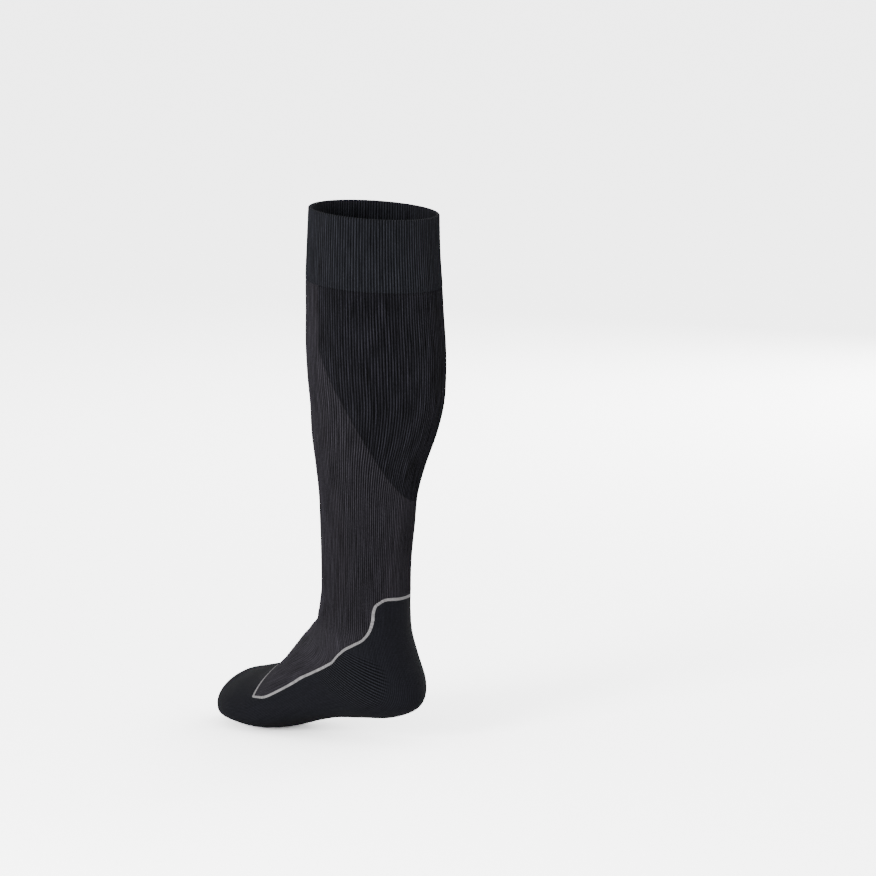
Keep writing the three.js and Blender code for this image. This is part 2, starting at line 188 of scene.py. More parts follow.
def surface(station, angle):
    """Points of the outer face, in millimetres."""
    columns = np.moveaxis(along_table(SECTIONS, station), -1, 0)
    front_y, front_z, back_y, back_z, wide, out, flat, slope = columns
    cosine, sine = np.cos(np.radians(angle)), np.sin(np.radians(angle))
    squared = np.abs(cosine) ** (1 - SOLE_FULLNESS * np.clip(flat, 0, 1))
    lean = np.where(cosine < 0, -squared, cosine)
    x = out + sine * wide / 2
    y = (front_y + back_y + (front_y - back_y) * lean) / 2
    z = (front_z + back_z + (front_z - back_z) * lean) / 2
    z = z - slope * sine * (1 + lean) / 2
    z = z + BAND_TILT * (1 - smooth(-z, BAND_HEIGHT, TILT_END_DEPTH)) * cosine
    return np.stack([x, y, z], -1)


def unit(vectors):
    return vectors / np.maximum(np.linalg.norm(vectors, axis=-1, keepdims=True), 1e-9)


SMALL_STEP = 0.02


def outward(station, angle):
    """Outward direction of the face."""
    near = np.clip(station, SMALL_STEP, LAST_STATION - SMALL_STEP)
    along = surface(near + SMALL_STEP, angle) - surface(near - SMALL_STEP, angle)
    across = surface(near, angle + 1) - surface(near, angle - 1)
    return unit(np.cross(along, across))


DEPTH_STATIONS = np.linspace(0, len(LEG_SECTIONS), 2000)
DEPTHS = -along_table(SECTIONS, DEPTH_STATIONS)[:, 1]


def station_at(depth):
    return np.interp(depth, DEPTHS, DEPTH_STATIONS)


print("rim to floor:", FLOOR_DEPTH, "mm")
print("tip of the calf panel at station", round(station_at(CALF_TIP_DEPTH), 2))

# %% [markdown]
# ## Wales and courses
# Knitters count wales across the cloth and courses along it. Every stitch effect below needs both
# counts, so they are worked out once: wales go by angle on the leg and by length round the ring on the
# foot, and courses go by the length of the side line. The counts become a UV map on each piece.

# %% Tables of wale and course counts
COURSE_PITCH = 1.05
TABLE_STATIONS = np.linspace(0, LAST_STATION, 521)
TABLE_ANGLES = np.linspace(0, 360, 721)
ring_points = surface(TABLE_STATIONS[:, None], TABLE_ANGLES[None, :])
ring_steps = np.linalg.norm(np.diff(ring_points, axis=1), axis=-1)
ring_lengths = np.concatenate([np.zeros((len(TABLE_STATIONS), 1)), np.cumsum(ring_steps, 1)], 1)
ring_share = ring_lengths / np.maximum(ring_lengths[:, -1:], 1e-9)
BY_LENGTH_FROM, BY_LENGTH_TO = 12.5, 15.5
by_length = smooth(TABLE_STATIONS, BY_LENGTH_FROM, BY_LENGTH_TO)[:, None]
WALES = RIB_COUNT * (TABLE_ANGLES[None, :] / 360 * (1 - by_length) + ring_share * by_length)
side_line = surface(TABLE_STATIONS, 90)
side_steps = np.linalg.norm(np.diff(side_line, axis=0), axis=-1)
SIDE_LENGTH = np.concatenate([[0], np.cumsum(side_steps)])


def wale_of(station, angle):
    row = np.clip(station / LAST_STATION * (len(TABLE_STATIONS) - 1), 0, len(TABLE_STATIONS) - 1.001)
    column = np.clip(np.mod(angle, 360) * 2, 0, len(TABLE_ANGLES) - 1.001)
    i, j = row.astype(int), column.astype(int)
    s, t = row - i, column - j
    upper = WALES[i, j] * (1 - t) + WALES[i, j + 1] * t
    lower = WALES[i + 1, j] * (1 - t) + WALES[i + 1, j + 1] * t
    return upper * (1 - s) + lower * s


def length_at(station):
    return np.interp(station, TABLE_STATIONS, SIDE_LENGTH)


def stations_by_length(start, end, step):
    low, high = length_at(start), length_at(end)
    count = max(int(round((high - low) / step)), 1)
    return np.interp(np.linspace(low, high, count + 1), SIDE_LENGTH, TABLE_STATIONS)


ankle_girth = np.interp(len(LEG_SECTIONS) - 1, TABLE_STATIONS, ring_lengths[:, -1])
print("side line:", round(SIDE_LENGTH[-1]), "mm long, ankle ring:", round(ankle_girth), "mm")

# %% [markdown]
# ## Where the zones part
# The knitting machine changes yarn inside the same tube, so the dark calf panel, the charcoal leg and
# the foot share one surface. Each border is a line on that surface. A point's distance to the line, with
# a sign for its side, tells to which zone it belongs, and the mesh is cut where the sign changes.

# %% Border lines and signed distances
def turn(start, end):
    return np.mod(end - start + 180, 360) - 180


def tracer_side(column):
    """Soft curve through the tracer's table, as station and angle."""
    corners = np.array([(row[0], row[column] / TRACER_ANGLE_SCALE) for row in TRACER_PATH])
    points = np.vstack([2 * corners[0] - corners[1], corners, 2 * corners[-1] - corners[-2]])
    gaps = np.linalg.norm(np.diff(points, axis=0), axis=1) ** 0.5
    steps = np.linspace(0, 1, TRACER_STEPS, endpoint=False)[:, None]
    curve = []
    for i in range(1, len(points) - 2):
        p0, p1, p2, p3 = points[i - 1 : i + 3]
        d0, d1, d2 = gaps[i - 1 : i + 2]
        leave = ((p1 - p0) / d0 - (p2 - p0) / (d0 + d1) + (p2 - p1) / d1) * d1
        arrive = ((p2 - p1) / d1 - (p3 - p1) / (d1 + d2) + (p3 - p2) / d2) * d1
        bend = 3 * (p2 - p1) - 2 * leave - arrive
        twist = 2 * (p1 - p2) + leave + arrive
        curve.append(p1 + steps * (leave + steps * (bend + steps * twist)))
    line = np.vstack(curve + [corners[-1:]])
    return line * (1, TRACER_ANGLE_SCALE)


outer_side, inner_side = tracer_side(1), tracer_side(2)
tracer_line = np.vstack([outer_side, (inner_side * (1, -1))[::-1]])


BLOCK = 4000


def distance_to_line(points, line):
    """Shortest distance from each point to a line of short straight steps."""
    starts, steps = line[:-1], np.diff(line, axis=0)
    lengths = np.maximum((steps**2).sum(1), 1e-12)
    nearest = np.empty(len(points))
    for first in range(0, len(points), BLOCK):
        block = points[first : first + BLOCK, None, :] - starts[None]
        share = np.clip((block * steps[None]).sum(-1) / lengths, 0, 1)
        apart = block - share[..., None] * steps[None]
        nearest[first : first + BLOCK] = np.sqrt((apart**2).sum(-1).min(1))
    return nearest


TRACER_3D = surface(tracer_line[:, 0], tracer_line[:, 1])


def leg_side(station, angle):
    """True where a line towards the toe meets the tracer an odd number of times."""
    away, inside = turn(0, angle), np.zeros(len(station), bool)
    for (from_station, from_angle), (to_station, to_angle) in zip(tracer_line[:-1], tracer_line[1:]):
        if from_angle != to_angle:
            share = (away - from_angle) / (to_angle - from_angle)
            meets = from_station + (to_station - from_station) * share > station
            inside ^= meets & ((from_angle <= away) != (to_angle <= away))
    return inside


def into_leg(station, angle):
    """Distance to the tracer, positive on the leg's side of it."""
    distance = distance_to_line(surface(station, angle), TRACER_3D)
    return np.where(leg_side(station, angle), distance, -distance)


def calf_edge_depth(away):
    return CALF_TIP_DEPTH - CALF_CURVE_RISE * (away / CALF_HALF_ANGLE) ** 2


CALF_EDGE_POINTS = 90
calf_away = np.linspace(-CALF_HALF_ANGLE, CALF_HALF_ANGLE, CALF_EDGE_POINTS)
calf_edge = np.stack([station_at(calf_edge_depth(calf_away)), CALF_AXIS_ANGLE + calf_away], -1)
calf_edge = np.vstack([[(0, calf_edge[0, 1])], calf_edge, [(0, calf_edge[-1, 1])]])
CALF_3D = surface(calf_edge[:, 0], calf_edge[:, 1])


def into_calf(station, angle):
    """Distance to the calf panel's edge, positive on the panel."""
    away = turn(CALF_AXIS_ANGLE, angle)
    inside = (np.abs(away) < CALF_HALF_ANGLE) & (station < station_at(calf_edge_depth(away)))
    distance = distance_to_line(surface(station, angle), CALF_3D)
    return np.where(inside, distance, -distance)


print("tracer line:", round(np.linalg.norm(np.diff(TRACER_3D, axis=0), axis=1).sum()), "mm round")

# %% [markdown]
# ## Cutting and thickening a skin
# Boolean tools would be slow on cloth this fine and could leave slivers of wall. Instead a grid of
# triangles is trimmed along a border by its signed distance, each crossed triangle is cut in two, and
# the wall is closed with an inner skin and a rim. That always gives one closed body.

# %% Grid, trim and closed cloth
def grid_skin(stations, columns):
    """Rings of the tube, joined by triangles, as arrays of station, angle and corner numbers."""
    rows = len(stations)
    angles = np.arange(columns) * 360 / columns
    station = np.repeat(stations, columns)
    angle = np.tile(angles, rows)
    number = np.arange(rows * columns).reshape(rows, columns)
    a, b = number[:-1], np.roll(number, -1, 1)[:-1]
    c, d = np.roll(number, -1, 1)[1:], number[1:]
    triangles = np.concatenate([np.stack([a, c, b], -1), np.stack([a, d, c], -1)]).reshape(-1, 3)
    return station, angle, triangles


ON_BORDER = 0.06


def trim(skin, value):
    """The part of a skin where value is positive. Values near nought count as on the border."""
    station, angle, triangles = skin
    value = np.where(np.abs(value) < ON_BORDER, 0.0, value)
    sign = np.sign(value).astype(int)
    corner = sign[triangles]
    whole = (corner >= 0).all(1) & (corner > 0).any(1)
    crossed = (corner > 0).any(1) & (corner < 0).any(1)
    new_station, new_angle, cuts, pieces = [], [], {}, []

    def cut(p, q):
        key = (min(p, q), max(p, q))
        if key not in cuts:
            p, q = key
            share = value[p] / (value[p] - value[q])
            cuts[key] = len(station) + len(new_station)
            new_station.append(station[p] + (station[q] - station[p]) * share)
            new_angle.append(angle[p] + turn(angle[p], angle[q]) * share)
        return cuts[key]

    for triangle in triangles[crossed].tolist():
        outline = []
        for p, q in zip(triangle, triangle[1:] + triangle[:1]):
            if sign[p] >= 0:
                outline.append(p)
            if sign[p] * sign[q] < 0:
                outline.append(cut(p, q))
        for k in range(2, len(outline)):
            pieces.append((outline[0], outline[k - 1], outline[k]))
    station = np.concatenate([station, new_station])
    angle = np.concatenate([angle, new_angle])
    kept = np.concatenate([triangles[whole], np.array(pieces, int).reshape(-1, 3)])
    used, kept = np.unique(kept, return_inverse=True)
    return station[used], angle[used], kept.reshape(-1, 3)


def rim_edges(triangles):
    """Edges that bound a skin, in the direction of its triangles."""
    edges = np.concatenate([triangles[:, [0, 1]], triangles[:, [1, 2]], triangles[:, [2, 0]]])
    forward = edges[:, 0] * (edges.max() + 1) + edges[:, 1]
    backward = edges[:, 1] * (edges.max() + 1) + edges[:, 0]
    return edges[~np.isin(forward, backward)]


def make_piece(name, points, triangles, wale, course):
    """A mesh object from points in millimetres, with the wale and course counts as its UV map."""
    mesh = bpy.data.meshes.new(name)
    mesh.from_pydata((points * MM).tolist(), [], triangles.tolist())
    wale_corners = wale[triangles]
    behind = wale_corners.max(1, keepdims=True) - wale_corners > RIB_COUNT / 2
    wale_corners = wale_corners + RIB_COUNT * behind
    uv = np.stack([wale_corners.ravel(), course[triangles].ravel()], -1)
    layer = mesh.uv_layers.new(name="knit")
    layer.data.foreach_set("uv", uv.astype(np.float32).ravel())
    mesh.shade_smooth()
    mesh.update()
    piece = bpy.data.objects.new(name, mesh)
    bpy.context.collection.objects.link(piece)
    print(name, "has", len(triangles), "triangles")
    return piece


def cloth(name, skin, height, wall):
    """A closed wall: the skin raised by height, the same skin set in by the wall, and a rim."""
    station, angle, triangles = skin
    base, direction = surface(station, angle), outward(station, angle)
    points = np.vstack([base + direction * height[:, None], base - direction * wall])
    shift = len(station)
    rim = rim_edges(triangles)
    walls = np.concatenate(
        [
            np.stack([rim[:, 1], rim[:, 0], rim[:, 0] + shift], -1),
            np.stack([rim[:, 1], rim[:, 0] + shift, rim[:, 1] + shift], -1),
        ]
    )
    faces = np.concatenate([triangles, triangles[:, ::-1] + shift, walls])
    wale = np.tile(wale_of(station, angle), 2)
    course = np.tile(length_at(station) / COURSE_PITCH, 2)
    return make_piece(name, points, faces, wale, course)


# %% [markdown]
# ## Ribs and soft creases
# A rib is one column of stitches that stands forward between two that lie back. It has a round top and a
# narrow valley. Ribs are real geometry here, because they catch the light at the outline too. The worn
# cloth also has a few faint creases where the ankle bends, each a soft trough of its own size.

# %% Heights of ribs and creases
COLUMNS_PER_RIB = 4
LEG_RIB_RELIEF = 0.46
BAND_RIB_RELIEF = 0.52
RIB_ROUNDNESS = 1.7

# station, angle of the middle, half length in degrees, depth in millimetres, half width in stations
CREASES = [
    (11.9, 8, 62, 0.30, 0.16),
    (12.75, -6, 70, 0.42, 0.20),
    (13.6, 4, 58, 0.50, 0.26),
    (14.7, -8, 46, 0.38, 0.30),
    (15.9, 10, 38, 0.22, 0.30),
    (11.3, 176, 40, 0.26, 0.14),
    (12.9, 186, 46, 0.34, 0.16),
    (10.2, 262, 36, 0.20, 0.16),
    (18.9, 14, 40, 0.30, 0.22),
    (20.9, -12, 52, 0.34, 0.26),
    (17.6, 196, 50, 0.30, 0.30),
]


def rib_height(station, angle):
    phase = np.mod(wale_of(station, angle), 1)
    return 1 - np.abs(2 * phase - 1) ** RIB_ROUNDNESS


def crease_depth(station, angle):
    depth = np.zeros(len(station))
    for middle, facing, reach, deep, width in CREASES:
        off = np.abs(turn(facing, angle)) / reach
        bow = middle + 0.25 * width * np.cos(off * math.pi)
        along = np.exp(-(((station - bow) / width) ** 2))
        depth += deep * along * (1 - smooth(off, 0.35, 1.0))
    return depth


# %% [markdown]
# ## The leg: calf panel and charcoal leg
# Both zones are cut from the same fine grid, so their ribs run on without a break, as they do on the
# machine. The ribs get lower round the instep, where the cloth is stretched most.

# %% Make the two leg zones
LEG_ROW = 3.6
LEG_TOP_DEPTH = 59.0
LEG_LAST_STATION = 20.8
TUCK = 0.3
BORDER_OVERLAP = 0.15
CALM_STRIP = 3
LOWER_RIBS_FROM, LOWER_RIBS_TO, LOWERED = 12.2, 14.8, 0.85
leg_rows = stations_by_length(station_at(LEG_TOP_DEPTH), LEG_LAST_STATION, LEG_ROW)
leg_grid = grid_skin(leg_rows, RIB_COUNT * COLUMNS_PER_RIB)
leg_skin = trim(leg_grid, into_leg(leg_grid[0], leg_grid[1]) - (TRACER_HALF - BORDER_OVERLAP))
calf_value = into_calf(leg_skin[0], leg_skin[1])
calf_skin = trim(leg_skin, calf_value)
shin_skin = trim(leg_skin, -calf_value)


def leg_height(skin):
    station, angle, _ = skin
    near_tracer = smooth(into_leg(station, angle), TRACER_HALF, TRACER_HALF + CALM_STRIP)
    under_band = smooth(station, station_at(LEG_TOP_DEPTH), station_at(BAND_HEIGHT + 2))
    fade = 1 - LOWERED * smooth(station, LOWER_RIBS_FROM, LOWER_RIBS_TO)
    ribs = LEG_RIB_RELIEF * rib_height(station, angle) * fade * near_tracer
    creases = crease_depth(station, angle) * near_tracer * under_band
    return ribs - creases - TUCK * (1 - under_band)


calf_panel = cloth("stocking_calf_panel", calf_skin, leg_height(calf_skin), LEG_WALL)
shin_panel = cloth("stocking_shin_panel", shin_skin, leg_height(shin_skin), LEG_WALL)

# %% [markdown]
# ## The foot
# The foot is knitted plain, with loops of terry inside that make it thicker. It has no ribs, only fine
# stitches, so its grid can be coarser. The grid stops just short of the toe and closes in a small cap.

# %% Make the foot
FOOT_ROW = 2.6
FOOT_COLUMNS = 360
FOOT_FIRST_STATION = 11.5
TOE_CAP = 0.03
foot_rows = stations_by_length(FOOT_FIRST_STATION, LAST_STATION - TOE_CAP, FOOT_ROW)
foot_grid = grid_skin(foot_rows, FOOT_COLUMNS)


def close_toe(skin, columns):
    """Adds the triangles of a cap over the last ring."""
    station, angle, triangles = skin
    tip = len(station)
    last = np.arange(tip - columns, tip)
    fan = np.stack([last, np.full(columns, tip), np.roll(last, -1)], -1)
    return np.append(station, LAST_STATION), np.append(angle, 0.0), np.concatenate([triangles, fan])


foot_grid = close_toe(foot_grid, FOOT_COLUMNS)
foot_skin = trim(foot_grid, -into_leg(foot_grid[0], foot_grid[1]) - (TRACER_HALF - BORDER_OVERLAP))
near_line = smooth(-into_leg(foot_skin[0], foot_skin[1]), TRACER_HALF, TRACER_HALF + CALM_STRIP)
foot_height = -crease_depth(foot_skin[0], foot_skin[1]) * near_line
foot = cloth("stocking_foot", foot_skin, foot_height, FOOT_WALL)

# %% [markdown]
# ## The tracer line
# The light line is knitted in with a thicker yarn, so it stands a little proud. A curve with a bevel
# would turn over at the corners. A strip of small cross-sections laid along the line, each square to
# the cloth, stays flat on it.

# %% Make the tracer
TRACER_STEP = 0.8
# place across in half widths, height over the cloth in millimetres
TRACER_PROFILE = [
    (-1.12, -0.45),
    (-1.0, 0.04),
    (-0.62, 0.16),
    (0.0, 0.21),
    (0.62, 0.16),
    (1.0, 0.04),
    (1.12, -0.45),
    (1.0, -TRACER_WALL),
    (0.0, -TRACER_WALL),
    (-1.0, -TRACER_WALL),
]


# unevenness of its width: share, wave length in millimetres over two pi, where the wave starts
UNEVEN = [(0.08, 17, 0), (0.05, 5.3, 1)]


def make_tracer():
    lengths = np.concatenate([[0], np.cumsum(np.linalg.norm(np.diff(TRACER_3D, axis=0), axis=1))])
    count = int(lengths[-1] / TRACER_STEP)
    places = np.arange(count) * lengths[-1] / count
    station = np.interp(places, lengths, tracer_line[:, 0])
    angle = np.interp(places, lengths, np.unwrap(tracer_line[:, 1], period=360))
    middle, direction = surface(station, angle), outward(station, angle)
    ahead = unit(np.roll(middle, -1, 0) - np.roll(middle, 1, 0))
    across = unit(np.cross(direction, ahead))
    half = TRACER_HALF * (1 + sum(high * np.sin(places / long + shift) for high, long, shift in UNEVEN))
    rings = []
    for side, high in TRACER_PROFILE:
        rings.append(middle + across * (side * half)[:, None] + direction * high)
    points = np.stack(rings, 1).reshape(-1, 3)
    ring = len(TRACER_PROFILE)
    number = np.arange(count * ring).reshape(count, ring)
    a, b = number, np.roll(number, -1, 1)
    c, d = np.roll(b, -1, 0), np.roll(number, -1, 0)
    faces = np.concatenate([np.stack([a, b, c], -1), np.stack([a, c, d], -1)]).reshape(-1, 3)
    wale = np.repeat(wale_of(station, angle), ring)
    course = np.repeat(length_at(station) / COURSE_PITCH, ring)
    return make_piece("stocking_tracer", points, faces, wale, course)


tracer = make_tracer()

# %% [markdown]
# ## The turned band
# The band is knitted double and folded over at the rim, so its edge is a round fold and not a cut.
# Rings run up the outside, over the fold in a half circle, and down the inside. At its foot the band
# ends in a low step, because two layers become one there.

# %% Make the band
BAND_ROW = 3.6
FOLD_STEPS = 8
FOLD_RIB_STEPS = 3
BAND_PROUD = 0.12
# depth, height and share of the ribs for the low step at the band's foot
BAND_FOOT = [(BAND_HEIGHT, -0.35, 0.8), (BAND_HEIGHT - 0.3, -0.05, 1.0)]


def make_band():
    columns = RIB_COUNT * COLUMNS_PER_RIB
    half = BAND_WALL / 2
    outside = np.arange(BAND_HEIGHT, half + 1, -BAND_ROW)
    rows = BAND_FOOT + [(depth, 0.0, 1.0) for depth in outside[1:]]
    for step in range(FOLD_STEPS + 1):
        fold = math.pi * step / FOLD_STEPS
        rib = max(1 - step / FOLD_RIB_STEPS, 0)
        rows.append((half * (1 - math.sin(fold)), half * (math.cos(fold) - 1), rib))
    rows += [(depth, -BAND_WALL, 0.0) for depth in outside[::-2]]
    rows.append((BAND_HEIGHT, -BAND_WALL, 0.0))
    angles = np.arange(columns) * 360 / columns
    points, wales, courses = [], [], []
    for depth, high, rib in rows:
        station = np.full(columns, station_at(depth))
        height = high + BAND_PROUD + BAND_RIB_RELIEF * rib * rib_height(station, angles)
        points.append(surface(station, angles) + outward(station, angles) * height[:, None])
        wales.append(wale_of(station, angles))
        courses.append(length_at(station) / COURSE_PITCH)
    number = np.arange(len(rows) * columns).reshape(len(rows), columns)
    a, b = number, np.roll(number, -1, 1)
    c, d = np.roll(b, -1, 0), np.roll(number, -1, 0)
    faces = np.concatenate([np.stack([a, b, c], -1), np.stack([a, c, d], -1)]).reshape(-1, 3)
    points, wales, courses = (np.concatenate(part) for part in (points, wales, courses))
    return make_piece("stocking_top_band", points, faces, wales, courses)


top_band = make_band()

# %% [markdown]
# ## Knit as a node group
# Stitches are smaller than a millimetre, so they are bump and painted shade, not geometry. The group reads
# the wale and course counts and gives back the height of the yarn and how open each spot is to the light,
# which sets how much shade is painted into its colour. It is built once and placed in each material with
# its own depth.

# %% Helpers for node trees
def new_group(name, inputs, outputs):
    group = bpy.data.node_groups.new(name, "ShaderNodeTree")
    for label, kind, value in inputs:
        socket = group.interface.new_socket(label, in_out="INPUT", socket_type=kind)
        if value is not None:
            socket.default_value = value
    for label, kind in outputs:
        group.interface.new_socket(label, in_out="OUTPUT", socket_type=kind)
    return group, group.nodes.new("NodeGroupInput"), group.nodes.new("NodeGroupOutput")


def put(tree, kind, sockets=None, **settings):
    """A node with its settings, and its inputs set or linked by number or name."""
    node = tree.nodes.new(kind)
    for key, value in settings.items():
        setattr(node, key, value)
    for key, value in (sockets or {}).items():
        if isinstance(value, bpy.types.NodeSocket):
            tree.links.new(value, node.inputs[key])
        else:
            node.inputs[key].default_value = value
    return node


def sums(tree, operation, *values):
    node = put(tree, "ShaderNodeMath", dict(enumerate(values)), operation=operation)
    return node.outputs[0]


# %% The knit group
MEAN_RIB_SHADE = 0.5
MEAN_LINE_SHADE = 0.4
RIDGE_ROUNDNESS = 0.85
STITCH_ROUNDNESS = 3.0
LINE_ROUNDNESS = 1.3
STITCH_SLANT = 0.45


def saw_to_tent(tree, value):
    """Distance from the middle of each whole count: 0 in the middle and 1 at both ends."""
    part = sums(tree, "FRACT", value)
    return sums(tree, "ABSOLUTE", sums(tree, "MULTIPLY_ADD", part, 2.0, -1.0))


def build_knit_group():
    group, given, result = new_group(
        "Knit stitches",
        [
            ("Counts", "NodeSocketVector", None),
            ("Rib Depth", "NodeSocketFloat", 0.5),
            ("Stitch Depth", "NodeSocketFloat", 0.5),
            ("Wales per Rib", "NodeSocketFloat", 1.0),
            ("Course Lines", "NodeSocketFloat", 0.0),
        ],
        [("Height", "NodeSocketFloat"), ("Openness", "NodeSocketFloat")],
    )
    split = put(group, "ShaderNodeSeparateXYZ", {0: given.outputs["Counts"]})
    wale = sums(group, "MULTIPLY", split.outputs[0], given.outputs["Wales per Rib"])
    across = saw_to_tent(group, wale)
    ridge = sums(group, "SUBTRACT", 1.0, sums(group, "POWER", across, RIDGE_ROUNDNESS))
    slanted = sums(group, "MULTIPLY_ADD", across, STITCH_SLANT, split.outputs[1])
    along = saw_to_tent(group, slanted)
    stitch = sums(group, "SUBTRACT", 1.0, sums(group, "POWER", along, STITCH_ROUNDNESS))
    rib_part = sums(group, "MULTIPLY", ridge, given.outputs["Rib Depth"])
    stitch_part = sums(group, "MULTIPLY", stitch, given.outputs["Stitch Depth"])
    height = sums(group, "ADD", rib_part, sums(group, "MULTIPLY", stitch_part, ridge))
    # Painted shade: low openness darkens the colour in the valleys between ribs, in the gaps between
    # stitches and in the dips between raised courses. Where ribs flatten, the rib part tends to its mean,
    # an even painted shade.
    rib_shade = put(
        group,
        "ShaderNodeMix",
        {0: given.outputs["Rib Depth"], 2: MEAN_RIB_SHADE, 3: sums(group, "SUBTRACT", 1.0, ridge)},
    ).outputs[0]
    between = sums(group, "SUBTRACT", 1.0, stitch)
    stitch_shade = sums(group, "MULTIPLY", between, given.outputs["Stitch Depth"])
    pair = saw_to_tent(group, sums(group, "MULTIPLY", split.outputs[1], 0.5))
    line = sums(group, "POWER", pair, LINE_ROUNDNESS)
    line = sums(group, "SUBTRACT", line, MEAN_LINE_SHADE)
    line_shade = sums(group, "MULTIPLY", line, given.outputs["Course Lines"])
    height = sums(group, "SUBTRACT", height, line_shade)
    shade = sums(group, "ADD", sums(group, "ADD", rib_shade, stitch_shade), line_shade)
    opened = put(group, "ShaderNodeMath", {0: 1.0, 1: shade}, operation="SUBTRACT", use_clamp=True)
    group.links.new(height, result.inputs["Height"])
    group.links.new(opened.outputs[0], result.inputs["Openness"])
    return group


knit_group = build_knit_group()
print("node group:", knit_group.name)

# %% [markdown]
# ## Uneven yarn as a node group
# No yarn is quite even. One wale takes a little more dye or lies a little lower than the next, which
# shows as long faint streaks down the leg, and the fibres give a fine mottle. Painted streaks would be
# an image, so both are noise: one stretched along the wales, the other in true space.

# %% The yarn group
STREAK_STRETCH = (1.0, 0.014, 1.0)
STREAK_SCALE = 2.6
MOTTLE_SCALE = 620.0
DARKEST_TONE = 0.05


def build_yarn_group():
    """Uneven yarn: long streaks along the wales and a fine mottle, as a tone near 1."""
    group, given, result = new_group(
        "Uneven yarn",
        [
            ("Counts", "NodeSocketVector", None),
            ("Place", "NodeSocketVector", None),
            ("Streaks", "NodeSocketFloat", 0.3),
            ("Mottle", "NodeSocketFloat", 0.2),
        ],
        [("Tone", "NodeSocketFloat")],
    )
    counts, place = given.outputs["Counts"], given.outputs["Place"]
    slow = put(group, "ShaderNodeVectorMath", {0: counts, 1: STREAK_STRETCH}, operation="MULTIPLY")
    long_way = {"Vector": slow.outputs[0], "Scale": STREAK_SCALE, "Detail": 1.0}
    streak = put(group, "ShaderNodeTexNoise", long_way)
    fine = put(group, "ShaderNodeTexNoise", {"Vector": place, "Scale": MOTTLE_SCALE, "Detail": 3.0})
    parts = []
    for noise, amount in ((streak, "Streaks"), (fine, "Mottle")):
        centred = sums(group, "MULTIPLY_ADD", noise.outputs[0], 4.0, -2.0)
        parts.append(sums(group, "MULTIPLY", centred, given.outputs[amount]))
    tone = sums(group, "ADD", sums(group, "ADD", parts[0], parts[1]), 1.0)
    group.links.new(sums(group, "MAXIMUM", tone, DARKEST_TONE), result.inputs["Tone"])
    return group


yarn_group = build_yarn_group()
print("node group:", yarn_group.name)

# %% [markdown]
# ## Yarn colours
# The yarns are nylon and elastane in blue-black, charcoal and light grey. Matt knit scatters light, so
# each material is rough, with a little sheen at grazing angles from the fine fibres. Its colour
# comes from two shades: the yarn in the open, and painted shade, the same yarn darkened deep between the
# ribs and stitches.

# %% One function for every knit
LINES_FROM, LINES_TO = (length_at(station) / COURSE_PITCH for station in (13.9, 17.2))
LINES_FADE = 12
SIDE_FROM, SIDE_TO = 0.07, 0.15
FLATTENED = 0.3
BUMP_DISTANCE = 0.45 * MM
FLATTER_FROM, FLATTER_TO = (length_at(station) / COURSE_PITCH for station in (12.6, 14.6))


def ramp(tree, value, start, end, low=0.0, high=1.0):
    reach = {"Value": value, "From Min": start, "From Max": end, "To Min": low, "To Max": high}
    return put(tree, "ShaderNodeMapRange", reach, interpolation_type="SMOOTHSTEP").outputs[0]


def course_lines(tree, counts, depth):
    """Depth of the raised courses, which show only on the sides of the foot's middle. It sets their bump
    and the painted shade in the dips between them.
    """
    split = put(tree, "ShaderNodeSeparateXYZ", {0: counts})
    from_sole = sums(tree, "ABSOLUTE", sums(tree, "MULTIPLY_ADD", split.outputs[0], 1 / RIB_COUNT, -0.5))
    side = ramp(tree, from_sole, SIDE_FROM, SIDE_TO)
    behind = ramp(tree, split.outputs[1], LINES_FROM, LINES_FROM + LINES_FADE)
    before = ramp(tree, split.outputs[1], LINES_TO, LINES_TO - LINES_FADE)
    shown = sums(tree, "MULTIPLY", side, sums(tree, "MULTIPLY", behind, before))
    return sums(tree, "MULTIPLY", shown, depth)


def fading_ribs(tree, counts, depth):
    """Depth of the ribs, which flatten out where the cloth is stretched over the instep. It sets their
    bump and their painted shade.
    """
    course = put(tree, "ShaderNodeSeparateXYZ", {0: counts}).outputs[1]
    return ramp(tree, course, FLATTER_FROM, FLATTER_TO, depth, FLATTENED * depth)


